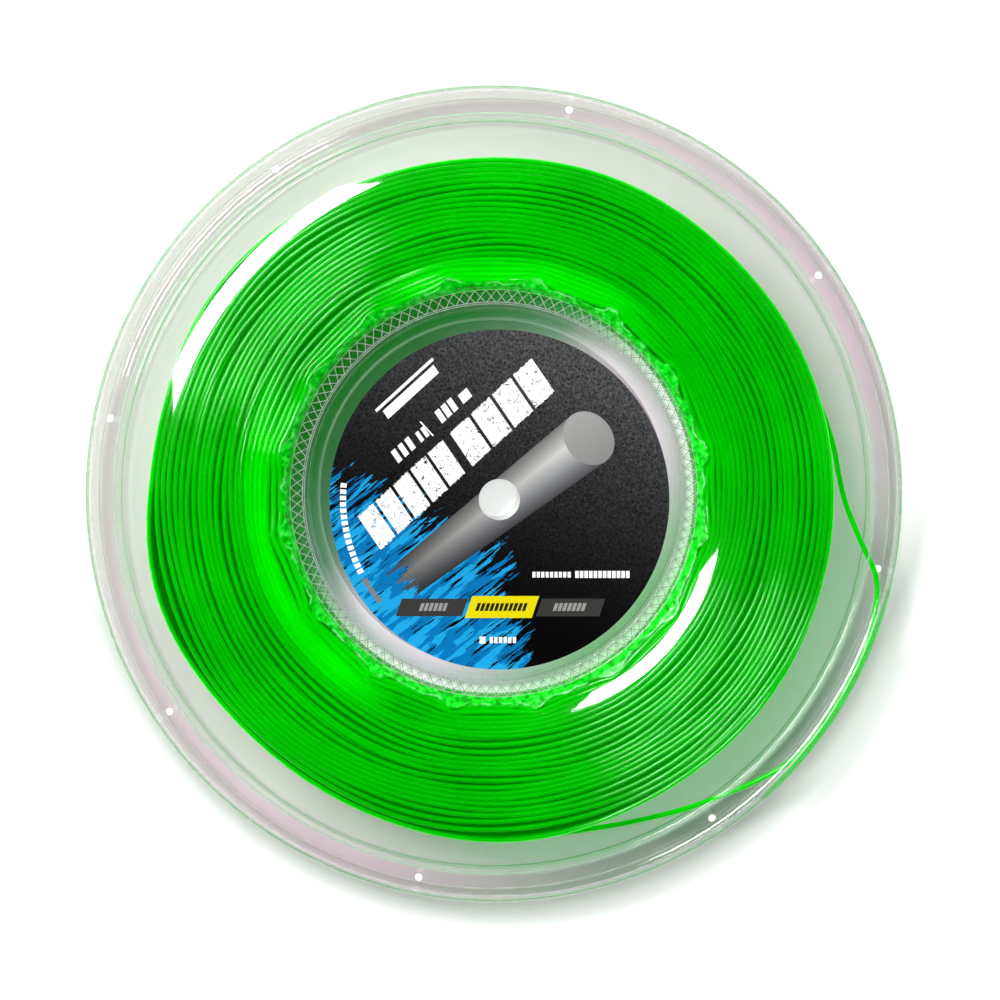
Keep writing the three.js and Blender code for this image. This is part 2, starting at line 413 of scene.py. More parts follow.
def core_light_material():
    """The flange next to the core, painted with the green of the turns under it: a crinkled fringe that
    bulges over each rib, with a painted pale highlight along its outer edge and a painted glow that grows
    towards the picture's lower right."""
    n = Nodes("core_light")
    place = n.place()
    away, _, turn = around_axis(n, place)
    out = n.minus(n.times(away, 1000.0), LEDGE_RADIUS)
    angle = n.angle(place)
    beside = n.times(beside_nearest(n, angle, RIB_ANGLE, RIBS), RIB_CIRCLE)
    over_rib = n.minus(1.0, n.math("POWER", n.over(beside, CORE_LIT_HALF), 2.0), clamp=True)
    ripple = n.times(n.minus(n.noise(330.0, 4.0), 0.5), 2.6)
    reach = n.plus(n.plus(n.times(over_rib, CORE_LIT_BULGE), CORE_LIT_REACH), ripple)
    left = n.minus(reach, out)
    cover = n.times(n.times(left, 1.6, clamp=True), 0.88)
    green = n.ramp(n.noise(700.0, 3.0), [
        (0.35, srgb(0, 170, 8)), (0.55, srgb(8, 238, 28)), (0.7, srgb(80, 250, 95))])
    from_edge = n.math("ABSOLUTE", n.minus(left, 0.45))
    painted_edge_highlight = n.minus(0.8, n.times(from_edge, 2.6), clamp=True)
    patchy = n.patches(n.noise(260.0, 2.0), 0.45, 0.6, (0.0, 1.0))
    green = n.mix(n.times(painted_edge_highlight, patchy), green, srgb(165, 255, 178))
    # Painted glow, stronger towards the picture's lower right.
    n.cover(green, 0.2, cover, n.plus(n.times(turn, 0.45), 0.08))
    n.set(Normal=n.bump(n.noise(500.0, 3.0), 0.8, 0.0003))
    return n.material


def well_painted_light_material():
    """The wall of the hub well, with painted light towards the picture's lower left and upper right, standing
    in for the studio's light that the wall scatters; elsewhere it is clear."""
    n = Nodes("well_painted_light")
    _, _, turn = around_axis(n, n.place())
    cover = n.ramp(turn, [
        (0.1, grey(0.0)), (0.31, grey(0.05)), (0.5, grey(0.35)),
        (0.7, grey(0.45)), (0.86, grey(0.2)), (0.98, grey(0.0))])
    light_blotches = n.patches(n.noise(60.0, 3.0), 0.3, 0.7, (0.92, 1.0))
    # Painted light: a glowing cover that changes with direction round the axis.
    n.cover(srgb(203, 200, 203), 0.4, n.times(cover, light_blotches), 0.85)
    return n.material


PRINT_TILT = 42.4  # degrees; the long rows of the print climb this steeply
ROD_TILT = 37.7
WHITE = srgb(244, 244, 244)
TAB_GREY = srgb(55, 54, 53)
TAB_YELLOW = srgb(226, 210, 5)
TAB_LETTERS = srgb(150, 148, 148)
TAB_INK = srgb(40, 38, 20)
ROD_END = 24.6  # where the printed bar's visible end is, along its tilt
ROD_ASIDE = 1.4  # how far the bar's middle line passes from the label's middle
ROD_END_RADIUS = 6.5
ROD_END_SQUASH = 0.82
TAB_LEAN = 0.34
# Rows of blocks: (axes, start, pitch, count, share of the pitch filled, low, high). The axes are the
# print's tilted ones, with or without the letters' lean, or the upright ones.
LETTER_ROWS = (
    ("lean", -12.4, 2.05, 3, 0.62, 21.5, 24.6), ("lean", -5.4, 1.6, 2, 0.6, 21.5, 24.0),
    ("tilt", -1.5, 0.34, 1, 1.0, 20.8, 25.2), ("lean", 1.0, 1.85, 3, 0.74, 21.5, 24.6),
    ("lean", 7.6, 2.7, 1, 1.0, 21.5, 23.8), ("lean", -9.9, 17.6, 1, 1.0, 33.4, 34.1),
    ("lean", -8.6, 15.6, 1, 1.0, 30.5, 32.7), ("upright", 7.5, 1.0, 9, 0.72, -17.7, -16.4),
    ("upright", 17.2, 1.05, 12, 0.78, -17.8, -16.2), ("upright", -4.5, 1.5, 1, 0.9, -32.7, -31.1),
    ("upright", -2.2, 1.05, 6, 0.72, -32.6, -31.2),
)
# Tabs: (left, right, low, high, colour, its blocks' colour, where they start, how many).
TABS = (
    (-22.8, -7.8, -26.5, -22.5, TAB_GREY, TAB_LETTERS, -18.0, 6),
    (9.0, 23.4, -26.5, -22.5, TAB_GREY, TAB_LETTERS, 12.4, 7),
    (-7.0, 8.2, -26.9, -21.9, TAB_YELLOW, TAB_INK, -5.2, 11),
)


def brushed(n, axes, along_scale, across_scale, seed):
    """Coordinates that draw a noise out along a pair of tilted axes."""
    return n.add("ShaderNodeCombineXYZ", {
        "X": n.times(axes[0], along_scale), "Y": n.times(axes[1], across_scale), "Z": seed}).outputs[0]


def label_black(n, x, y, grain):
    """Grained black, with painted light that makes it lighter towards the upper right."""
    # Painted light: a brightness gradient across the label.
    lit = n.plus(n.plus(n.times(x, 0.0065), n.times(y, 0.015)), 0.44, clamp=True)
    rough = n.times(n.minus(grain, 0.45), 1.4, clamp=True)
    return n.mix(n.times(n.math("POWER", lit, 2.2), rough), srgb(1, 1, 2), srgb(112, 112, 115))


def label_patch(n, colour, tilted, rod, streaks):
    """Brushed patch at the lower left: long streaks in two blues, with bare gaps."""
    bulge = n.times(n.math("ABSOLUTE", n.plus(tilted[1], 6.0)), 0.42)
    inside = n.minus(n.minus(-9.0, bulge), tilted[0])
    paint = n.plus(n.times(inside, 0.022), n.minus(streaks, 0.5))
    tone = n.noise(1.0, 4.0, where=brushed(n, rod, 0.09, 0.4, 9.1))
    blues = n.mix(n.math("GREATER_THAN", tone, 0.5), srgb(26, 156, 216), srgb(0, 112, 176))
    gaps = n.noise(1.0, 4.0, where=brushed(n, rod, 0.14, 1.5, 5.2))
    bare = n.math("LESS_THAN", gaps, n.minus(0.46, n.times(inside, 0.004)))
    painted = n.times(n.math("GREATER_THAN", paint, 0.0), n.minus(1.0, bare))
    return n.mix(painted, colour, blues)


def label_rod(n, colour, rod, streaks):
    """A plain round bar in grey, seen from its end, whose far end frays into the patch."""
    r, s = rod[0], n.plus(rod[1], ROD_ASIDE)
    across = n.over(s, n.plus(n.times(r, 0.044), 5.45))
    shade = n.ramp(n.plus(n.times(across, 0.5), 0.5), [
        (0.02, srgb(80, 80, 82)), (0.22, srgb(126, 127, 132)), (0.4, srgb(168, 169, 172)),
        (0.62, srgb(214, 212, 208)), (0.76, srgb(178, 176, 173)), (0.98, srgb(124, 123, 122))])
    shade = n.mix(n.plus(n.times(r, 0.015), 0.62), srgb(24, 24, 26), shade)
    frayed = n.plus(n.times(streaks, 22.0), -39.0)
    along = n.times(n.math("GREATER_THAN", r, frayed), n.math("LESS_THAN", r, ROD_END))
    colour = n.mix(n.times(along, n.between(across, -1.0, 1.0)), colour, shade)
    from_end = n.hypot(n.over(n.minus(r, ROD_END), ROD_END_SQUASH), s)
    end_grey = n.ramp(n.plus(n.times(rod[1], 0.05), 0.5), [
        (0.0, srgb(128, 128, 127)), (1.0, srgb(170, 170, 168))])
    return n.mix(n.math("LESS_THAN", from_end, ROD_END_RADIUS), colour, end_grey)


def label_rows(n, colour, place, tilted, upright, fibre):
    """Rows of blocks where words would be; two of them follow the label's edge."""
    u, v = tilted
    lean = n.minus(u, n.times(n.minus(v, 14.2), 0.14))
    rough_edge = n.plus(v, n.times(n.minus(fibre, 0.5), 1.6))
    big = n.math("MAXIMUM", n.blocks(lean, rough_edge, -27.0, 5.35, 5, 0.86, 9.7, 18.7),
                 n.blocks(lean, rough_edge, 1.2, 6.5, 4, 0.88, 9.7, 18.7))
    worn = n.noise(1.1, 6.0, where=place, roughness=0.8)
    white = n.times(big, n.math("LESS_THAN", worn, 0.585))
    axes = {"lean": (lean, v), "tilt": (u, v), "upright": upright}
    for which, *row in LETTER_ROWS:
        white = n.math("MAXIMUM", white, n.blocks(*axes[which], *row))
    radius = n.hypot(*upright)
    angle = n.math("ARCTAN2", n.times(upright[1], -1.0), n.times(upright[0], -1.0))
    white = n.math("MAXIMUM", white, n.blocks(angle, radius, -0.105, 0.0405, 15, 0.7, 34.8, 36.2))
    colour = n.mix(white, colour, WHITE)
    flag = n.blocks(angle, radius, 0.53, 0.062, 3, 0.92, 35.0, 36.2)
    return n.mix(flag, colour, srgb(120, 122, 124))


def label_tabs(n, colour, x, y):
    """Three leaning tabs, each with a row of small blocks."""
    lean = n.minus(x, n.times(n.plus(y, 24.4), TAB_LEAN))
    for left, right, low, high, tab, ink, first, count in TABS:
        colour = n.mix(n.blocks(lean, y, left, right - left, 1, 1.0, low, high), colour, tab)
        colour = n.mix(n.blocks(lean, y, first, 1.06, count, 0.72, -25.3, -23.5), colour, ink)
    return colour


def label_material():
    """Near-black grained sticker. Plain bars and blocks stand where a real one carries its words;
    coordinates are in mm from the label's middle."""
    n = Nodes("label_print")
    place = n.add("ShaderNodeMapping", {
        "Vector": n.place(),
        "Location": (-LABEL_OFFSET[0], -LABEL_OFFSET[1], 0), "Scale": (1000, 1000, 1000)}).outputs[0]

    def axes(degrees):
        turn = (0, 0, -math.radians(degrees))
        turned_back = n.add("ShaderNodeMapping", {"Vector": place, "Rotation": turn}).outputs[0]
        return n.part(turned_back, "X"), n.part(turned_back, "Y")

    x, y = n.part(place, "X"), n.part(place, "Y")
    tilted, rod = axes(PRINT_TILT), axes(ROD_TILT)
    pebble = n.add("ShaderNodeTexVoronoi", {"Vector": place, "Scale": 1.9}, feature="SMOOTH_F1")
    fibre = n.noise(1.9, 4.0, where=place, roughness=0.75)
    grain = n.plus(n.times(pebble.outputs["Distance"], 0.5), fibre)
    streaks = n.noise(1.0, 5.0, where=brushed(n, rod, 0.11, 0.75, 3.7), roughness=0.65)

    colour = label_black(n, x, y, grain)
    colour = label_patch(n, colour, tilted, rod, streaks)
    colour = label_rod(n, colour, rod, streaks)
    colour = label_rows(n, colour, place, tilted, (x, y), fibre)
    colour = label_tabs(n, colour, x, y)

    n.set(Base_Color=colour, Roughness=n.plus(n.times(fibre, 0.25), 0.38))
    # The label's print glows a little: painted light.
    n.set(Normal=n.bump(grain, 0.55, 0.00012), Emission_Color=colour, Emission_Strength=0.28)
    n.set(Specular_IOR_Level=0.04)
    return n.material


STRING = string_material("string_green", 0.05)
# The loop's string has a stronger painted glow than the wound string.
LOOP_STRING = string_material("string_green_loop", 0.3)
CLEAR = clear_material("clear_sheet", (0.986, 0.982, 0.982), (0.93, 0.96, 0.93), rough=0.03)
SOFT_CLEAR = clear_material("clear_fillet", (0.98, 0.982, 0.98), (0.95, 0.96, 0.95), rough=0.4)
CORE_CLEAR = clear_material("clear_core", (0.93, 0.98, 0.94), (0.93, 0.98, 0.94), rough=0.1)
# White line on the bead's crest and round the bore: partly frosted moulding, partly a painted highlight.
EDGE_FROST_AND_HIGHLIGHT = frost_and_painted_light_material("edge_frost_and_painted_highlight", srgb(250, 250, 250), solid=0.6)
KNURL = frost_and_painted_light_material("knurl", srgb(245, 250, 246), solid=0.62)
# Pale green line along the ridge: a painted highlight, tinted with painted green light from the string.
RIDGE_PAINTED_LIGHT = frost_and_painted_light_material("ridge_painted_light", srgb(185, 242, 190), solid=0.8)
# Green along the skirt's lower edge: painted light, the string's green carried by the edge.
SKIRT_PAINTED_GLOW = frost_and_painted_light_material("skirt_edge", srgb(110, 205, 120), solid=0.55)
# Green on the rib ends: painted glow.
RIB_PAINTED_GLOW = frost_and_painted_light_material("rib_painted_glow", srgb(0, 215, 10), solid=0.85, glow=0.2)
LOOP_LIGHT = loop_light_material()
CORE_LIGHT = core_light_material()
WELL_PAINTED_LIGHT = well_painted_light_material()
LABEL = label_material()

# ---- the slack loop ----------------------------------------------------------------------------

# The same route as the CAD tube: out of the winding, along the skirt, and back to the winding.
LOOP_ROUTE = [
    (-19.8, -73.9), (-9.9, -76.5), (1.4, -78.0), (11.6, -77.5), (21.7, -76.2), (32.9, -74.2),
    (44.2, -71.3), (55.1, -67.2), (61.2, -64.4), (66.3, -61.4), (70.4, -57.6), (74.4, -52.4),
    (77.4, -47.9), (80.2, -43.0), (82.9, -37.5), (85.0, -32.4), (86.5, -26.2), (87.0, -21.8),
    (86.2, -17.2), (84.2, -12.9), (81.8, -7.4), (79.7, -1.7), (78.3, 4.4), (77.2, 10.3),
    (75.5, 16.2), (73.6, 20.9),
]
LOOP_HEIGHT = 2.4
LOOP_END_HEIGHT = 0.8
LOOP_NEAR_RIM = 90.8  # route points further out than this lie along the skirt
LOOP_RIM_RADIUS = 91.35


def make_loop():
    """The slack last turn, as a curve with the string's own thickness."""
    data = bpy.data.curves.new("string_loop", "CURVE")
    data.dimensions = "3D"
    data.bevel_depth = STRING_DIAMETER / 2 * MM
    data.bevel_resolution = 5
    data.resolution_u = 8
    data.use_fill_caps = True
    line = data.splines.new("BEZIER")
    line.bezier_points.add(len(LOOP_ROUTE) - 1)
    last = len(LOOP_ROUTE) - 1
    for i, (x, y) in enumerate(LOOP_ROUTE):
        rise = math.sin(math.pi * i / last)
        height = MIDDLE + LOOP_END_HEIGHT + (LOOP_HEIGHT - LOOP_END_HEIGHT) * rise
        point = line.bezier_points[i]
        out = LOOP_RIM_RADIUS / math.hypot(x, y) if math.hypot(x, y) > LOOP_NEAR_RIM else 1.0
        point.co = Vector((x * out, y * out, height)) * MM
        point.handle_left_type = point.handle_right_type = "AUTO"
    piece = in_scene("string_loop", data)
    data.materials.append(LOOP_STRING)
    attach(piece, "root")
    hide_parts("string_loose_loop")


make_loop()

# ---- the clear halves --------------------------------------------------------------------------

CROWN_INNER = CROWN_RADIUS - CROWN_FLAT / 2
CROWN_OUTER = CROWN_RADIUS + CROWN_FLAT / 2
HALF_SEGMENTS = 288
CURVE_STEPS = 18
LEDGE_ROUNDING = 0.45
RIM_ROUNDING = 0.5
FLANGE_START = 50.0  # where the flange's curve begins, outside the riser
RIDGE_LEAD = 1.6  # the curve ends this far inside the ridge
RIDGE_WIDTHS = (0.9, 1.0)  # from the ridge's line to its feet, inside and outside
BEAD_WIDTHS = (1.1, 1.2)
BEAD_DROPS = (0.9, 2.2)  # how far below the bead its outer foot and the skirt's top are
SHARP_EDGE = 38  # degrees
WELL_START = FLOOR_EDGE_RADIUS - FLOOR_FILLET
KNURLS = 117
KNURL_WIDTH = 0.18
KNURL_RISE = 0.15
KNURL_INNER = WELL_RADIUS + 0.3
KNURL_OUTER = LEDGE_RADIUS - 0.1
# Numbers of a half's materials other than the clear sheet, in the order that make_half puts them in.
RIDGE, EDGE, SKIRT_END, OVER_LOOP, OVER_CORE, WELL_WALL, WELL_FILLET = range(1, 8)
# Where a half's outer surface takes another material, partly frost and otherwise painted highlights and
# painted light: (inner radius, outer radius, material number).
OUTER_FACES = (
    (RIDGE_RADIUS, RIDGE_RADIUS + 0.25, RIDGE), (BEAD_RADIUS - 0.1, BEAD_RADIUS + 0.15, EDGE),
    (0.0, BORE_RADIUS + 0.8, EDGE), (LEDGE_RADIUS, FLANGE_START, OVER_CORE),
)


def flange_height(radius, below):
    """Height of the flange over the mid-plane, on a surface this far below its outer one."""
    radius = np.asarray(radius, dtype=float)
    aside = np.maximum(np.maximum(CROWN_INNER - radius, radius - CROWN_OUTER), 0.0)
    return CROWN_HEIGHT - FLANGE_CURVE + np.sqrt((FLANGE_CURVE - below) ** 2 - aside**2)


def flange_line(start, end, below):
    radii = np.concatenate([
        np.linspace(start, CROWN_INNER, CURVE_STEPS + 1),
        np.linspace(CROWN_OUTER, end, CURVE_STEPS + 1),
    ])
    return list(zip(radii, flange_height(radii, below)))


STRAIGHT = -0.995  # the cosine between a corner's two sides is under this where the outline runs on


def rounded(points, radius, steps):
    """An outline whose inner corners are rounded by arcs of about this radius."""
    points = [np.array(p, dtype=float) for p in points]
    out = [points[0]]
    for before, corner, after in zip(points, points[1:], points[2:]):
        to_before, to_after = before - corner, after - corner
        reach = min(radius, np.linalg.norm(to_before) * 0.45, np.linalg.norm(to_after) * 0.45)
        a, b = corner + unit(to_before) * reach, corner + unit(to_after) * reach
        if np.dot(unit(to_before), unit(to_after)) < STRAIGHT:
            out.append(corner)
            continue
        for t in np.linspace(0, 1, steps + 1):
            out.append((1 - t) ** 2 * a + 2 * t * (1 - t) * corner + t**2 * b)
    out.append(points[-1])
    return out


def moved_in(line, distance):
    """An outline's points moved to the cavity side of it, as a sheet's inner surface is."""
    line = np.asarray(line, dtype=float)
    along = unit(np.gradient(line, axis=0))
    return line + distance * np.stack([along[:, 1], -along[:, 0]], axis=1)


def half_outline():
    """Closed outline of a half, heights from the mid-plane."""
    fillet = (FLOOR_EDGE_RADIUS, FLOOR_HEIGHT + FLOOR_FILLET)
    outer = [(BORE_RADIUS, FLOOR_HEIGHT), (FLOOR_EDGE_RADIUS / 2, FLOOR_HEIGHT)]
    outer += arc(fillet, FLOOR_FILLET, -90, -8, 12)
    outer += rounded(
        [outer[-1], (WELL_RADIUS, LEDGE_HEIGHT), (LEDGE_RADIUS, LEDGE_HEIGHT),
         (RISER_RADIUS, flange_height(RISER_RADIUS, 0)), (FLANGE_START, flange_height(FLANGE_START, 0))],
        LEDGE_ROUNDING, 6)[1:-1]
    outer += flange_line(FLANGE_START, RIDGE_RADIUS - RIDGE_LEAD, 0)
    ridge_foot = RIDGE_RADIUS - RIDGE_WIDTHS[0]
    outer += rounded(
        [outer[-1], (ridge_foot, flange_height(ridge_foot, 0) - 0.1),
         (RIDGE_RADIUS, RIDGE_HEIGHT + 0.3), (RIDGE_RADIUS + RIDGE_WIDTHS[1], BAND_HEIGHT),
         (BEAD_RADIUS - BEAD_WIDTHS[0], BAND_HEIGHT), (BEAD_RADIUS, BEAD_HEIGHT + 0.25),
         (BEAD_RADIUS + BEAD_WIDTHS[1], BEAD_HEIGHT - BEAD_DROPS[0]),
         (RIM_RADIUS - SKIRT_DRAFT, BEAD_HEIGHT - BEAD_DROPS[1]), (RIM_RADIUS, SKIRT_EDGE)],
        RIM_ROUNDING, 8)[1:]
    inner = moved_in(outer, WALL)
    inner[0] = (BORE_RADIUS, FLOOR_HEIGHT - WALL)
    inner[-1] = (RIM_RADIUS - WALL, SKIRT_EDGE)
    return np.concatenate([inner, np.asarray(outer)[::-1]])


def bored(piece, places, radius, low, high, sides=24):
    """Cuts upright round holes through a piece, at (x, y) places in mm."""
    verts, faces = [], []
    around = [on_circle(radius, math.tau * k / sides) for k in range(sides)]
    for x, y in places:
        base = len(verts)
        verts += [(x + dx, y + dy, z) for z in (low, high) for dx, dy in around]
        faces += (grid_faces(2, sides, closed=False) + base).tolist()
        faces.append([base + k for k in range(sides)][::-1])
        faces.append([base + sides + k for k in range(sides)])
    cutter = make_mesh("cutter", verts, faces, smooth=False)
    cut = piece.modifiers.new("holes", "BOOLEAN")
    cut.operation = "DIFFERENCE"
    cut.solver = "EXACT"
    cut.object = cutter
    bpy.context.view_layer.update()
    cleaned = bpy.data.meshes.new_from_object(piece.evaluated_get(bpy.context.evaluated_depsgraph_get()))
    piece.modifiers.clear()
    uncut = piece.data
    piece.data = cleaned
    bpy.data.meshes.remove(uncut)
    bpy.data.objects.remove(cutter)


def knurl_ridge(start, end, side):
    """One thin three-sided ridge on the ledge, between two (x, y) places."""
    start, end = np.array(start), np.array(end)
    along = unit(end - start)
    across = np.array([-along[1], along[0]]) * KNURL_WIDTH / 2
    low, high = MIDDLE + side * (LEDGE_HEIGHT - 0.02), MIDDLE + side * (LEDGE_HEIGHT + KNURL_RISE)
    verts = [(*(start - across), low), (*(start + across), low), (*start, high),
             (*(end - across), low), (*(end + across), low), (*end, high)]
    faces = [[0, 2, 1], [3, 4, 5], [0, 1, 4, 3], [1, 2, 5, 4], [2, 0, 3, 5]]
    return verts, faces if side > 0 else [face[::-1] for face in faces]


def make_knurl(side):
    """The crossed ridges on a half's ledge and the fine lines along its edges, as one mesh."""
    pitch = math.tau / KNURLS
    lines = []
    for k in range(KNURLS):
        a = k * pitch
        for lean in (pitch, -pitch):
            lines.append((on_circle(KNURL_INNER, a), on_circle(KNURL_OUTER, a + lean)))
        for radius in (KNURL_INNER - 0.25, KNURL_INNER + 0.15, KNURL_OUTER + 0.05):
            for step in range(3):
                b = a + pitch * step / 3
                lines.append((on_circle(radius, b), on_circle(radius, b + pitch / 3)))
    verts, faces = [], []
    for start, end in lines:
        more, sides = knurl_ridge(start, end, side)
        faces += [[i + len(verts) for i in face] for face in sides]
        verts += more
    return make_mesh("knurl", verts, faces, smooth=False)


def joined(piece, other):
    """Puts another object's mesh into a piece's, keeping both their materials."""
    merged = bmesh.new()
    merged.from_mesh(piece.data)
    offset = len(piece.data.materials)
    start = len(merged.faces)
    merged.from_mesh(other.data)
    merged.faces.ensure_lookup_table()
    for face in merged.faces[start:]:
        face.material_index += offset
    for material in other.data.materials:
        piece.data.materials.append(material)
    merged.to_mesh(piece.data)
    merged.free()
    bpy.data.objects.remove(other)


def half_material(polygon, side):
    """Number of the material that a face of a half has."""
    middle = polygon.center / MM
    radius = math.hypot(middle.x, middle.y)
    # The skirt's lower edge gets the painted green glow.
    if radius > BEAD_RADIUS and (middle.z - MIDDLE) * side < SKIRT_EDGE + 0.01:
        return SKIRT_END
    if side > 0 and radius > BEAD_RADIUS + 0.15:
        return OVER_LOOP if LOOP_LIT[0] < math.degrees(math.atan2(middle.y, middle.x)) < LOOP_LIT[1] else 0
    faces_axis = polygon.normal.x * middle.x + polygon.normal.y * middle.y < 0
    if side > 0 and WELL_START < radius < WELL_RADIUS and faces_axis:
        return WELL_WALL
    if WELL_START < radius < FLOOR_EDGE_RADIUS + WALL:
        return WELL_FILLET
    for inner, outer, number in OUTER_FACES:
        if inner < radius < outer and polygon.normal.z * side > 0.1:
            return number
    return 0


def make_half(name, node, side):
    """One clear half; side is 1 for the front and -1 for the rear."""
    piece = turned(name, [(r, MIDDLE + side * h) for r, h in half_outline()], HALF_SEGMENTS)
    places = [on_circle(STRING_HOLE_CIRCLE, math.radians(STRING_HOLE_ANGLE + 360 / STRING_HOLES * k))
              for k in range(STRING_HOLES)]
    low, high = sorted((MIDDLE + side * (BAND_HEIGHT - 2), MIDDLE + side * (BAND_HEIGHT + 1)))
    bored(piece, places, STRING_HOLE_RADIUS, low, high)
    piece.data.shade_smooth()
    piece.data.set_sharp_from_angle(angle=math.radians(SHARP_EDGE))
    piece.data.materials.clear()
    for material in (CLEAR, RIDGE_PAINTED_LIGHT, EDGE_FROST_AND_HIGHLIGHT, SKIRT_PAINTED_GLOW,
                     LOOP_LIGHT, CORE_LIGHT, WELL_PAINTED_LIGHT, SOFT_CLEAR):
        piece.data.materials.append(material)
    for polygon in piece.data.polygons:
        polygon.material_index = half_material(polygon, side)
    knurl = make_knurl(side)
    knurl.data.materials.append(KNURL)
    joined(piece, knurl)
    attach(piece, "root")
    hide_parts(node)


make_half("front_shell", "front_half", 1)
make_half("rear_shell", "rear_half", -1)

# ---- the core ring -----------------------------------------------------------------------------

CORE_SEGMENTS = RIBS * 24
RIB_END_ROWS = (1, 3)  # rows of the core's faces that end the ribs
DOME_RADIUS = 1.5
DOME_CIRCLE = 47.8
DOME_RISE = 1.1
DOME_RINGS = 4
DOME_SIDES = 14


def from_rib(angle):
    """Angle from the middle of the nearest rib, in radians."""
    spacing = math.tau / RIBS
    return (angle - math.radians(RIB_ANGLE) + spacing / 2) % spacing - spacing / 2


def core_outside(angle):
    """Outside radius of the ribbed core at an angle, in radians."""
    across = RIB_CIRCLE * math.sin(from_rib(angle))
    if abs(across) < RIB_RADIUS:
        return RIB_CIRCLE * math.cos(from_rib(angle)) + math.sqrt(RIB_RADIUS**2 - across**2)
    return CORE_OUTER_RADIUS


def rib_domes():
    """Low round domes on both ends of every rib, as one mesh, with the ribs' painted green glow."""
    steps = np.arange(DOME_SIDES)
    top = DOME_RINGS * DOME_SIDES
    upper_ring = top - DOME_SIDES + steps
    dome = [steps[::-1].tolist(), *grid_faces(DOME_RINGS, DOME_SIDES, closed=False).tolist()]
    dome += [[a, b, top] for a, b in zip(upper_ring.tolist(), np.roll(upper_ring, -1).tolist())]
    verts, faces = [], []
    for side in (1, -1):
        for k in range(RIBS):
            x, y = on_circle(DOME_CIRCLE, math.radians(RIB_ANGLE) + math.tau * k / RIBS)
            faces += [[len(verts) + i for i in face[::side]] for face in dome]
            for rise in np.linspace(0, math.pi / 2, DOME_RINGS, endpoint=False):
                height = MIDDLE + side * (CORE_HEIGHT + DOME_RISE * math.sin(rise))
                for step in steps:
                    dx, dy = on_circle(DOME_RADIUS * math.cos(rise), math.tau * step / DOME_SIDES)
                    verts.append((x + dx, y + dy, height))
            verts.append((x, y, MIDDLE + side * (CORE_HEIGHT + DOME_RISE)))
    piece = make_mesh("rib_domes", verts, faces, sharp_degrees=50)
    piece.data.materials.append(RIB_PAINTED_GLOW)
    return piece


def make_core():
    """The ribbed ring, clear but for the ends of its ribs, which carry a painted green glow."""
    angles = all_round(CORE_SEGMENTS)
    outside = np.array([core_outside(a) for a in angles])
    inside = np.full_like(outside, CORE_INNER_RADIUS)
    between = np.full_like(outside, CORE_OUTER_RADIUS - 0.05)
    rows = [(inside, -CORE_HEIGHT), (between, -CORE_HEIGHT), (outside, -CORE_HEIGHT),
            (outside, CORE_HEIGHT), (between, CORE_HEIGHT), (inside, CORE_HEIGHT)]
    verts = [(*on_circle(r, a), MIDDLE + h) for radii, h in rows for r, a in zip(radii, angles)]
    faces = grid_faces(len(rows), CORE_SEGMENTS, closed=True).tolist()
    piece = make_mesh("core", verts, faces, sharp_degrees=30)
    piece.data.materials.append(CORE_CLEAR)
    piece.data.materials.append(RIB_PAINTED_GLOW)
    for row in RIB_END_ROWS:
        for face in range(row * CORE_SEGMENTS, (row + 1) * CORE_SEGMENTS):
            piece.data.polygons[face].material_index = 1
    joined(piece, rib_domes())
    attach(piece, "root")
    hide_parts("core_ring")


make_core()

# ---- the wound string --------------------------------------------------------------------------

LAYERS = 24
TURN_POINTS = 96
HIDDEN_POINTS = 32  # points round a turn that other turns cover
WINDING_SIDES = 6
AXIAL_PITCH = 1.205
UNDER_FLANGE = 0.45  # clear height over the outermost turns
LEAST_PITCH = 1.12  # turns of neighbouring layers nest no closer than this
INNER_STRAND = CORE_OUTER_RADIUS + 0.15 + STRING_DIAMETER / 2
OUTER_STRAND = WINDING_RADIUS - STRING_DIAMETER / 2
RIB_CLEAR = RIB_CIRCLE + RIB_RADIUS + 0.1 + STRING_DIAMETER / 2
# How far the innermost turns bend out where they cross the end of a rib, next to the flange.
RIB_LIFTS = (1.9, 1.5, 1.1, 0.75, 0.45, 0.25, 0.12, 0.06)
# How much further out they bend between the flanges, where they go round it.
RIB_DETOURS = (RIB_CLEAR - INNER_STRAND - RIB_LIFTS[0], 0.6, 0.3, 0.1)
RIB_FLANK = 2.6  # the higher, the more suddenly turns bend beside a rib
FACE_LEVEL = 0.94  # turns past this level lie next to a flange
INNER_PITCH = 1.2
WANDER = 0.4  # how far turns wander, in so many waves a turn
WANDER_WAVES = 9
LEAN = (0.75, 215)  # how far the winding's outer turns sit off centre, and towards which degree
OVAL = 0.25  # and how far out of round they are
SPREAD_PASSES = 60
SHOWN_LEVEL = 0.13  # turns nearer than this to a face can be seen, and so can the last two layers
# Stretches of inner turns painted brighter by glow: (start angle, end angle, first layer, last layer).
CRESCENTS = ((40, 125, 0.5, 6.0), (150, 245, 1.5, 7.5))
# Strengths of the painted glow on the crescents and on the outermost turns' outward side.
CRESCENT_GLOW = 0.3
EDGE_GLOW = 0.5


def on_rib(angle, width):
    """1 over the middle of a rib, falling to 0 beside it; width in mm along the rib circle."""
    return np.exp(-((np.abs(from_rib(angle)) * RIB_CIRCLE / width) ** RIB_FLANK))


def soft_waves(rng, rows, columns, turns, height):
    """Smooth random waves round the reel, one row for each layer, alike in neighbouring layers."""
    angle = all_round(columns)
    out = np.zeros((rows, columns))
    for order in range(1, turns + 1):
        size = rng.normal(0, 1, (rows, 2)) / order**0.5
        for _ in range(2):
            size[1:-1] = (size[:-2] + 2 * size[1:-1] + size[2:]) / 4
        out += size[:, :1] * np.cos(order * angle) + size[:, 1:] * np.sin(order * angle)
    return height * out / out.std()


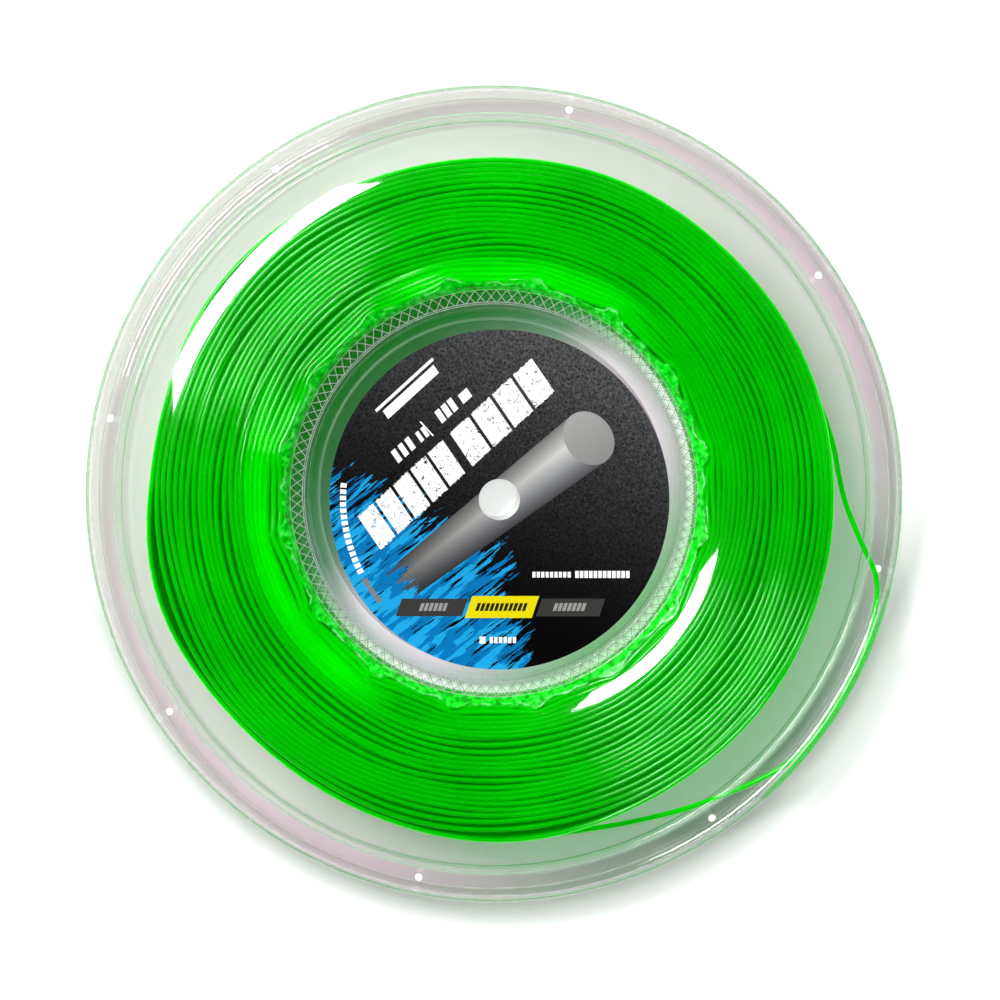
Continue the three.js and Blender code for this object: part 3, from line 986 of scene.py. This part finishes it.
def face_radii(rng):
    """Radius of each layer's turn next to a flange, all the way round: the turns wander, push each
    other apart where they would lie in each other, and leave slim gaps elsewhere."""
    angle = all_round(TURN_POINTS)
    base = np.linspace(INNER_STRAND, OUTER_STRAND, LAYERS)
    bent = len(RIB_LIFTS)
    base[:bent] = INNER_STRAND + INNER_PITCH * np.arange(bent)
    base[bent:] = np.linspace(base[bent - 1], OUTER_STRAND, LAYERS - bent + 1)[1:]
    radii = base[:, None] + soft_waves(rng, LAYERS, TURN_POINTS, WANDER_WAVES, WANDER)
    share = ((base - base[0]) / (base[-1] - base[0]))[:, None]
    lean = LEAN[0] * np.cos(angle - math.radians(LEAN[1]))
    radii += share * (lean + OVAL * np.cos(2 * angle - 1.0))
    lifts = np.zeros((LAYERS, TURN_POINTS))
    for layer, lift in enumerate(RIB_LIFTS):
        lifts[layer] = lift * on_rib(angle, 2.4 + 0.4 * layer)
    room = LEAST_PITCH + np.minimum(np.diff(lifts, axis=0), 0)
    radii += lifts
    for _ in range(SPREAD_PASSES):
        radii[0] = INNER_STRAND + lifts[0]
        gap = np.maximum(room - np.diff(radii, axis=0), 0)
        radii[:-1] -= gap * 0.45
        radii[1:] += gap * 0.55
    return radii


def layer_reach(radius):
    """Highest middle of a turn over the mid-plane, at a radius."""
    under_flange = flange_height(radius, WALL) - STRING_DIAMETER / 2 - UNDER_FLANGE
    return np.minimum(under_flange, CORE_HEIGHT + 0.2 + (radius - INNER_STRAND) * 0.9)


def looked_up(table, layers, angles):
    """A table of layers by angles, read between its rows and columns."""
    column = angles / math.tau * TURN_POINTS % TURN_POINTS
    low_row = np.floor(layers).astype(int)
    high_row = np.minimum(low_row + 1, LAYERS - 1)
    low_column = np.floor(column).astype(int) % TURN_POINTS
    high_column = (low_column + 1) % TURN_POINTS
    across, down = column % 1, layers % 1
    upper = table[low_row, low_column] * (1 - across) + table[low_row, high_column] * across
    lower = table[high_row, low_column] * (1 - across) + table[high_row, high_column] * across
    return upper * (1 - down) + lower * down


def winding_path(rng, front):
    """Layer, level (0 at the rear face to 1 at the front) and angle along the whole string."""
    keys = []
    angle = 0.0
    for layer in range(LAYERS):
        turns = int(2 * layer_reach(front[layer].mean()) / AXIAL_PITCH) + 1
        levels = np.linspace(0, 1, turns)
        if layer % 2:
            levels = levels[::-1]
        drift = rng.uniform(-0.3, 0.3)
        cross = rng.uniform(0.5, 1.0)
        for level in levels:
            keys.append((angle + cross / 2, layer, level))
            angle += math.tau + drift
            keys.append((angle - cross / 2, layer, level))
    keys = np.array(keys)
    steps = []
    for start, end in zip(keys, keys[1:]):
        near_face = min(start[2], end[2]) < SHOWN_LEVEL or max(start[2], end[2]) > 1 - SHOWN_LEVEL
        shown = near_face or start[1] > LAYERS - 3
        points = TURN_POINTS if shown else HIDDEN_POINTS
        count = max(2, int((end[0] - start[0]) / math.tau * points))
        steps.append(start + (end - start) * np.arange(count)[:, None] / count)
    path = np.concatenate(steps)
    return path[:, 0], path[:, 1], path[:, 2]


def winding_line():
    """The centreline of the whole winding. It climbs and falls between the flanges layer on layer.
    Each turn lies level for most of its way and then crosses over to the next."""
    rng = np.random.default_rng(12)
    front, rear = face_radii(rng), face_radii(rng)
    dips = np.abs(soft_waves(rng, LAYERS, TURN_POINTS, 5, 0.25))
    dips += np.maximum(rng.normal(0, 0.3, (LAYERS, 1)), 0)
    columns = all_round(TURN_POINTS)
    detours = np.zeros((LAYERS, TURN_POINTS))
    for layer, detour in enumerate(RIB_DETOURS):
        dips[layer] *= 1 - on_rib(columns, 4.0)
        detours[layer] = detour * on_rib(columns, 2.4)
    angles, layers, levels = winding_path(rng, front)
    radius = looked_up(front, layers, angles) * levels + looked_up(rear, layers, angles) * (1 - levels)
    height = (2 * levels - 1) * (layer_reach(radius) - looked_up(dips, layers, angles))
    between = np.clip((FACE_LEVEL - np.maximum(levels, 1 - levels)) / (1 - FACE_LEVEL) + 1, 0, 1)
    radius = radius + looked_up(detours, layers, angles) * between
    line = np.stack([radius * np.cos(angles), radius * np.sin(angles), MIDDLE + height], axis=1)
    return line, layers, levels, angles


def winding_painted_glow(layers, levels, angles):
    """How much painted glow the string has at each vertex of its tube, next to the flanges: painted light on
    two crescents of the inner turns, and on the outward side of the outermost turns."""
    glow = np.zeros(len(layers))
    for start, end, first, last in CRESCENTS:
        away = np.abs((angles - math.radians((start + end) / 2) + math.pi) % math.tau - math.pi)
        width = math.radians((end - start) / 2)
        round_share = np.clip((width - away) / (0.35 * width), 0, 1)
        from_middle = np.abs(layers - (first + last) / 2) / (last - first) * 2
        glow += CRESCENT_GLOW * round_share * np.clip(1 - from_middle, 0, 1) ** 0.5
    by_flange = np.clip((np.abs(2 * levels - 1) - 0.84) / 0.1, 0, 1)
    sides = np.maximum(np.cos(all_round(WINDING_SIDES)), 0)
    edge = EDGE_GLOW * np.clip(layers - (LAYERS - 2), 0, 1)
    return by_flange[:, None] * (glow[:, None] + edge[:, None] * sides[None, :])


def make_winding():
    line, layers, levels, angles = winding_line()
    print("winding length, m:", np.linalg.norm(np.diff(line, axis=0), axis=1).sum() / 1000)
    verts, faces = swept(line, STRING_DIAMETER / 2, WINDING_SIDES)
    piece = make_mesh("wound_string", verts, faces)
    glow = piece.data.attributes.new(GLOW, "FLOAT", "POINT")
    glow.data.foreach_set("value", winding_painted_glow(layers, levels, angles).reshape(-1))
    piece.data.materials.append(STRING)
    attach(piece, "root")
    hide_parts("string_winding")


make_winding()

# ---- the label ---------------------------------------------------------------------------------

LABEL_SEGMENTS = 240
LABEL_LEVELS = (0.03, 0.25)  # its underside and its face, above the well's floor


def make_label():
    low, high = (FLOOR_HEIGHT + level for level in LABEL_LEVELS)
    outline = [(LABEL_HOLE_RADIUS, low), (LABEL_RADIUS, low), (LABEL_RADIUS, high), (LABEL_HOLE_RADIUS, high)]
    piece = turned("label", [(r, MIDDLE + h) for r, h in outline], LABEL_SEGMENTS, sharp_degrees=30)
    piece.data.transform(Matrix.Translation(Vector((*LABEL_OFFSET, 0)) * MM))
    piece.data.materials.append(LABEL)
    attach(piece, "root")
    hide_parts("front_label")


make_label()

# ---- stage -------------------------------------------------------------------------------------

FLOOR_REACH = 3000
HUB_GLOW = 49.0  # the painted glow under the hub ends at this radius on the front flange
GLOW_END = RIM_RADIUS - 1.5
OUTSIDE_GLOW = 0.66
OUTSIDE_SLOPE = 130.0  # per metre; how fast the glow outside the rim comes in, in the picture's lower half, where its slow start paints a soft shadow
FLOOR_SCALE = 1.0235  # how much wider than on the front flange the glow's circles are on the floor


def hub_glow(n, away, aside):
    """The painted glow under the hub, which changes with direction round the axis, and the painted shade that
    darkens the floor itself there.
    """
    across = n.plus(n.times(aside, 10.0), 0.5)
    well = n.ramp(across, [
        (0.12, (0.0, 0.14, 0.01, 1)), (0.34, (0.0, 0.12, 0.03, 1)), (0.46, (0.3, 0.2, 0.3, 1)),
        (0.66, (0.32, 0.13, 0.3, 1)), (0.9, (0.17, 0.32, 0.2, 1))])
    core = n.ramp(across, [
        (0.1, (0.0, 0.16, 0.0, 1)), (0.33, (0.03, 0.27, 0.05, 1)), (0.5, grey(0.7)),
        (0.67, (1.3, 0.98, 1.28, 1)), (0.92, (0.78, 0.9, 0.78, 1))])
    under_core = n.times(n.minus(away, CORE_INNER_RADIUS * MM), 600.0, clamp=True)
    under_bore = n.math("LESS_THAN", away, BORE_RADIUS * 1.4 * MM)
    shade = n.ramp(across, [
        (0.1, grey(0.3)), (0.36, grey(0.5)), (0.5, grey(0.8))])
    # Under the bore the floor gets a painted glow.
    return n.mix(under_bore, n.mix(under_core, well, core), grey(0.62)), shade


def outside_glow(n, away, y):
    """The floor's painted glow outside the rim. It begins at the rim, and softly in the picture's lower half,
    which leaves a painted soft shadow next to the rim there.
    """
    lower_half = n.times(n.over(y, away), -2.5, clamp=True)
    faded_in = n.times(n.minus(away, GLOW_END * FLOOR_SCALE * MM), OUTSIDE_SLOPE, clamp=True)
    return n.times(n.math("MAXIMUM", n.minus(1.0, lower_half), faded_in), OUTSIDE_GLOW)


def hole_spots(n, away, angle):
    """1 in the painted spots of light under the string holes, else 0."""
    circle = STRING_HOLE_CIRCLE * FLOOR_SCALE * MM
    beside = n.times(beside_nearest(n, angle, STRING_HOLE_ANGLE, STRING_HOLES), circle)
    return n.math("LESS_THAN", n.hypot(beside, n.minus(away, circle)), STRING_HOLE_RADIUS * 1.1 * MM)


def make_stage():
    corners = [(x * FLOOR_REACH, y * FLOOR_REACH, 0) for x, y in ((-1, -1), (1, -1), (1, 1), (-1, 1))]
    floor = make_mesh("floor", corners, [[0, 1, 2, 3]], smooth=False)
    n = Nodes("floor_painted_light_and_shade")
    place = n.place()
    away, aside, turn = around_axis(n, place)
    y = n.part(place, "Y")
    # Painted light and shade on the floor under the flange and under the band, by direction round the axis.
    flange = n.ramp(turn, [
        (0.04, (0.37, 0.33, 0.35, 1)), (0.31, (0.28, 0.22, 0.26, 1)), (0.69, (0.3, 0.26, 0.29, 1)),
        (0.96, (0.23, 0.34, 0.26, 1))])
    band = n.ramp(turn, [
        (0.04, (0.33, 0.23, 0.29, 1)), (0.31, (0.39, 0.23, 0.34, 1)), (0.69, (0.32, 0.11, 0.26, 1)),
        (0.96, (0.03, 0.05, 0.05, 1))])
    glow, hub_shade = hub_glow(n, away, aside)
    for radius, zone in ((HUB_GLOW, flange), (RIDGE_RADIUS, band), (GLOW_END, outside_glow(n, away, y))):
        beyond = n.times(n.minus(away, radius * FLOOR_SCALE * MM), 1000.0, clamp=True)
        glow = n.mix(beyond, glow, zone)
    # Painted spots of light under the string holes.
    spots = hole_spots(n, away, n.angle(place))
    glow = n.mix(spots, glow, grey(1.2))
    # Painted shade darkens the floor under the hub.
    under_hub = n.math("LESS_THAN", away, HUB_GLOW * FLOOR_SCALE * MM)
    shade = n.mix(under_hub, grey(0.8), hub_shade)
    # The floor's emission is painted light; it is not even.
    n.set(Base_Color=shade, Roughness=0.9, Emission_Color=glow, Emission_Strength=1.0)
    n.set(Specular_IOR_Level=0.1)
    floor.data.materials.append(n.material)


def area_light(name, azimuth, zenith, distance, size, power, mirrored=True):
    """A rectangular lamp aimed at the reel; size is (across, along its tilt) in mm. A lamp that is
    not mirrored lights surfaces without showing as a highlight."""
    data = bpy.data.lights.new(name, "AREA")
    data.shape = "RECTANGLE"
    data.size, data.size_y = size[0] * MM, size[1] * MM
    data.energy = power
    lamp = in_scene(name, data)
    a, z = math.radians(azimuth), math.radians(zenith)
    away = Vector((math.sin(z) * math.cos(a), math.sin(z) * math.sin(a), math.cos(z)))
    lamp.location = away * distance * MM + Vector((0, 0, MIDDLE * MM))
    lamp.rotation_mode = "QUATERNION"
    lamp.rotation_quaternion = away.to_track_quat("Z", "Y")
    lamp.visible_glossy = mirrored
    lamp.visible_transmission = mirrored
    return lamp


def make_world():
    """Studio room, brighter towards the upper left and dark overhead, where flat faces mirror it."""
    world = bpy.data.worlds.new("studio")
    bpy.context.scene.world = world
    n = Nodes("studio", world)
    place = n.add("ShaderNodeTexCoord").outputs["Generated"]

    def graded(direction, low, high, dark, bright):
        """Brightness that changes along a direction, between two of its values."""
        along = n.add("ShaderNodeVectorMath", {0: place, 1: direction}, operation="DOT_PRODUCT")
        limits = {"From Min": low, "From Max": high, "To Min": dark, "To Max": bright}
        return n.add("ShaderNodeMapRange", {"Value": along.outputs["Value"], **limits},
                     interpolation_type="SMOOTHSTEP").outputs["Result"]

    from_left = graded((-0.74, 0.67, 0.0), -0.25, 0.3, 0.25, 1.0)
    overhead = graded((0.0, 0.0, 1.0), 0.65, 0.9, 0.6, 0.03)
    n.feed(n.tree.nodes["Background"].inputs["Strength"], n.times(from_left, overhead))


def pin_spot():
    """A narrow lamp straight down through the spindle bore, onto the floor under it."""
    data = bpy.data.lights.new("bore_spot", "SPOT")
    data.energy = 1.2
    data.spot_size = math.radians(1.0)
    data.spot_blend = 0.1
    data.shadow_soft_size = 0.002
    lamp = in_scene("bore_spot", data)
    lamp.location = Vector((*LABEL_OFFSET, 560)) * MM
    lamp.visible_glossy = False


make_stage()
area_light("softbox", azimuth=138, zenith=24.7, distance=1400, size=(520, 190), power=13)
area_light("fill_top", azimuth=120, zenith=18, distance=1600, size=(1100, 1100), power=8.5, mirrored=False)
pin_spot()
make_world()
bpy.context.scene.view_settings.view_transform = "Standard"
bpy.context.scene.cycles.transparent_max_bounces = 32  # enough for every clear wall in line
